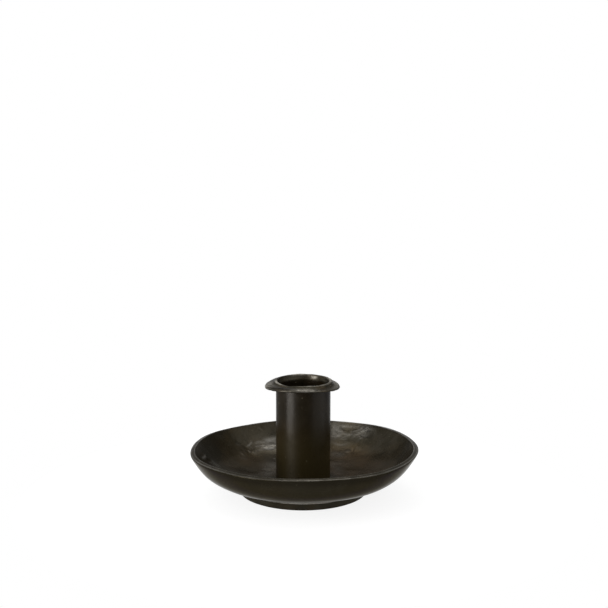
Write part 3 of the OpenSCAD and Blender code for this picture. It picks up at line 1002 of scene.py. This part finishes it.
def make_collar():
    outline = collar_outline()
    angles = around(COLLAR_COLUMNS)
    base_r, base_z, edge, crest, swell, tip, face, top, mouth = (outline[:, k][:, None] for k in range(9))
    r = base_r + edge * COLLAR_WAVE_R * waves(angles, COLLAR_RADIUS)
    z = (
        base_z
        + edge * COLLAR_WAVE_Z * waves(angles, COLLAR_EDGE)
        + crest * COLLAR_WAVE_Z * waves(angles, COLLAR_CREST)
        + swell * COLLAR_SWELL * waves(angles, COLLAR_FULL)
        + np.maximum(edge, swell) * patches(angles, RAISED)
        - crest * patches(angles, SUNK)
    )
    points = turned_grid(r, z, angles)
    forged = smooth_step(edge + crest, *FORGED_STARTS)
    arc = np.radians(angles) * base_r
    slant = np.stack([arc + STROKE_SLANT * base_r, STROKE_CHANGE * (arc - base_r), 0 * arc], axis=-1)
    strokes = edge * patches(angles, FILED) * noise_at(slant, STROKE_SIZE, STROKE_SEED)
    points = pushed(points, forged * layered(points, COLLAR_DENTS) + STROKE_DEPTH * strokes)
    # Rubbed metal and painted highlights round the collar
    worn_and_lit = (
        EDGE_WEAR * edge
        + tip * patches(angles, RUBBED_AND_LIT_EDGE)
        + face * patches(angles, RUBBED_AND_LIT_FACE)
        + top * patches(angles, RUBBED_AND_LIT_CREST)
        + mouth * patches(angles, PAINTED_MOUTH_HIGHLIGHT)
    )
    wear_and_highlight = worn_and_lit * (COLLAR_WEAR_MEAN + layered(points, COLLAR_UNEVEN)) + STROKE_SHINE * np.maximum(0, strokes)
    # Painted shade on the lower left of the face, and dark patina in the file's grooves
    stain_and_shade = face ** 2 * patches(angles, PAINTED_COLLAR_SHADE) + STROKE_DARK * np.maximum(0, -strokes)
    piece = skin("collar_body", points, collar_finish, wear_and_highlight, stain_and_shade=stain_and_shade)
    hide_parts("drip_collar")


make_dish()
make_foot()
make_felt()
make_tube()
make_collar()

kept_finishes = {
    "candle_seat": seat_finish,
    "fixing_screw": steel("screw_plating", tone="6f6c66", seed=1.0),
    "washer": steel("washer_plating", tone="77746d", seed=2.0),
}
for node, finish in kept_finishes.items():
    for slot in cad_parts[node].material_slots:
        slot.material = finish


# Floor, lights and camera

ROOM_LIGHT = 0.29
DIM_LIGHT = 0.07
# Directions between which reflections see the room change, as parts of an arrow of
# length 1: the backdrop comes in towards +Y and ends upwards, and the dim front ends
# away from -Y
BACKDROP_STARTS = (0.75, 1.0)
BACKDROP_TOP = (0.0, 0.15)
DIM_ENDS = (-0.98, -0.85)
# Softboxes: azimuth, elevation, distance, width and height in metres, and radiance
SOFTBOXES = {
    "left_low": (-55, -8, 0.75, 0.36, 0.40, 8.5),
    "left_mid": (-55, 17, 0.75, 0.36, 0.30, 4.0),
    "left_high": (-60, 41, 0.75, 0.40, 0.34, 2.9),
    "right_low": (70, -5, 0.80, 0.90, 0.45, 0.9),
    "right_high": (70, 38, 0.80, 0.90, 0.50, 1.15),
    "side_left": (-95, 62, 0.85, 0.35, 0.35, 1.3),
    "top_left": (-128, 60, 0.85, 0.36, 0.26, 2.2),
    "side_right": (95, 65, 0.85, 0.50, 0.40, 1.3),
    "back_left": (-120, 32, 0.85, 0.50, 0.55, 0.95),
    "back": (180, 25, 0.85, 0.60, 0.50, 0.3),
    "top_back": (168, 61, 0.85, 0.30, 0.20, 4.8),
}
# Height that the softboxes face
AIM_Z = 30
# Table: radius, facets, and its tone and glow as lit, as reflected and for the camera
TABLE_R = 130
TABLE_FACETS = 128
TABLE_LIT = (0.8, 0.0)
TABLE_REFLECTED = (0.25, 0.6)
TABLE_DIRECT = (0.25, 0.86)
# Camera: place, downward pitch in degrees, focal length and sensor width
CAMERA_PLACE = (0.36, -422.5, 134.9)
CAMERA_PITCH = 6.286
CAMERA_LENS = 54.69
SENSOR_W = 36


def shown(tree, plain, reflected, direct):
    """Plain shader, but reflected off metal or through glass, and direct for the camera."""
    path = tree.nodes.new("ShaderNodeLightPath")
    either = tree.nodes.new("ShaderNodeMath")
    either.operation = "MAXIMUM"
    tree.links.new(path.outputs["Is Glossy Ray"], either.inputs[0])
    tree.links.new(path.outputs["Is Transmission Ray"], either.inputs[1])
    result = plain
    for share, shader in ((either.outputs[0], reflected), (path.outputs["Is Camera Ray"], direct)):
        mix = tree.nodes.new("ShaderNodeMixShader")
        tree.links.new(share, mix.inputs["Fac"])
        tree.links.new(result, mix.inputs[1])
        tree.links.new(shader, mix.inputs[2])
        result = mix.outputs[0]
    return result


def make_floor():
    """Round pale table that keeps a faint shadow and meets the white background."""
    bpy.ops.mesh.primitive_circle_add(
        vertices=TABLE_FACETS, radius=TABLE_R * MM, fill_type="NGON", location=(0, 0, 0)
    )
    floor = bpy.context.object
    floor.name = "floor"
    material = bpy.data.materials.new("floor_paper")
    material.use_nodes = True
    tree = material.node_tree
    tree.nodes.clear()

    def paper(tone, glow):
        pale = tree.nodes.new("ShaderNodeBsdfDiffuse")
        pale.inputs["Color"].default_value = (tone, tone, tone, 1)
        light = tree.nodes.new("ShaderNodeEmission")
        light.inputs["Color"].default_value = (glow, glow, glow, 1)
        both = tree.nodes.new("ShaderNodeAddShader")
        tree.links.new(pale.outputs[0], both.inputs[0])
        tree.links.new(light.outputs[0], both.inputs[1])
        return both.outputs[0]

    out = tree.nodes.new("ShaderNodeOutputMaterial")
    look = shown(tree, paper(*TABLE_LIT), paper(*TABLE_REFLECTED), paper(*TABLE_DIRECT))
    tree.links.new(look, out.inputs["Surface"])
    floor.data.materials.append(material)


def make_world():
    """Even room light. Reflections see it dimmer at the front, with a low white backdrop behind."""
    world = bpy.data.worlds.new("studio")
    bpy.context.scene.world = world
    world.use_nodes = True
    tree = world.node_tree
    tree.nodes.clear()
    place = tree.nodes.new("ShaderNodeTexCoord")
    split = tree.nodes.new("ShaderNodeSeparateXYZ")
    tree.links.new(place.outputs["Generated"], split.inputs[0])

    def background(strength):
        node = tree.nodes.new("ShaderNodeBackground")
        node.inputs["Color"].default_value = (1, 1, 1, 1)
        if isinstance(strength, float):
            node.inputs["Strength"].default_value = strength
        else:
            tree.links.new(strength, node.inputs["Strength"])
        return node.outputs[0]

    backdrop = tree.nodes.new("ShaderNodeMath")
    backdrop.operation = "MULTIPLY"
    tree.links.new(map_range(tree, split.outputs["Y"], *BACKDROP_STARTS, 0.0, 1.0), backdrop.inputs[0])
    tree.links.new(map_range(tree, split.outputs["Z"], *BACKDROP_TOP, 1.0, 0.0), backdrop.inputs[1])
    white = map_range(tree, backdrop.outputs[0], 0.0, 1.0, 0.0, 1.0 - ROOM_LIGHT)
    room = tree.nodes.new("ShaderNodeMath")
    room.operation = "ADD"
    tree.links.new(map_range(tree, split.outputs["Y"], *DIM_ENDS, DIM_LIGHT, ROOM_LIGHT), room.inputs[0])
    tree.links.new(white, room.inputs[1])
    level = room.outputs[0]
    out = tree.nodes.new("ShaderNodeOutputWorld")
    look = shown(tree, background(ROOM_LIGHT), background(level), background(1.0))
    tree.links.new(look, out.inputs["Surface"])


def softbox(name, azimuth, elevation, distance, width, height, radiance):
    """Area lamp that faces the object. Azimuth 0 is the camera's side, and +90 is +X."""
    turn, tilt = math.radians(azimuth), math.radians(elevation)
    away = Vector((math.sin(turn) * math.cos(tilt), -math.cos(turn) * math.cos(tilt), math.sin(tilt)))
    lamp = bpy.data.lights.new(name, "AREA")
    lamp.shape = "RECTANGLE"
    lamp.size = width
    lamp.size_y = height
    lamp.energy = radiance * math.pi * width * height
    holder = bpy.data.objects.new(name, lamp)
    bpy.context.scene.collection.objects.link(holder)
    target = Vector((0, 0, AIM_Z * MM))
    holder.location = target + away * distance
    holder.rotation_euler = away.to_track_quat("Z", "Y").to_euler()


def make_camera():
    """Product view from the front, above the mouth and looking slightly down."""
    camera = bpy.data.cameras.new("view")
    camera.sensor_width = SENSOR_W
    camera.lens = CAMERA_LENS
    holder = bpy.data.objects.new("view", camera)
    bpy.context.scene.collection.objects.link(holder)
    holder.location = [value * MM for value in CAMERA_PLACE]
    holder.rotation_euler = (math.radians(90 - CAMERA_PITCH), 0, 0)
    bpy.context.scene.camera = holder


make_floor()
make_world()
for name, setting in SOFTBOXES.items():
    softbox(name, *setting)
make_camera()
bpy.context.scene.view_settings.view_transform = "Standard"
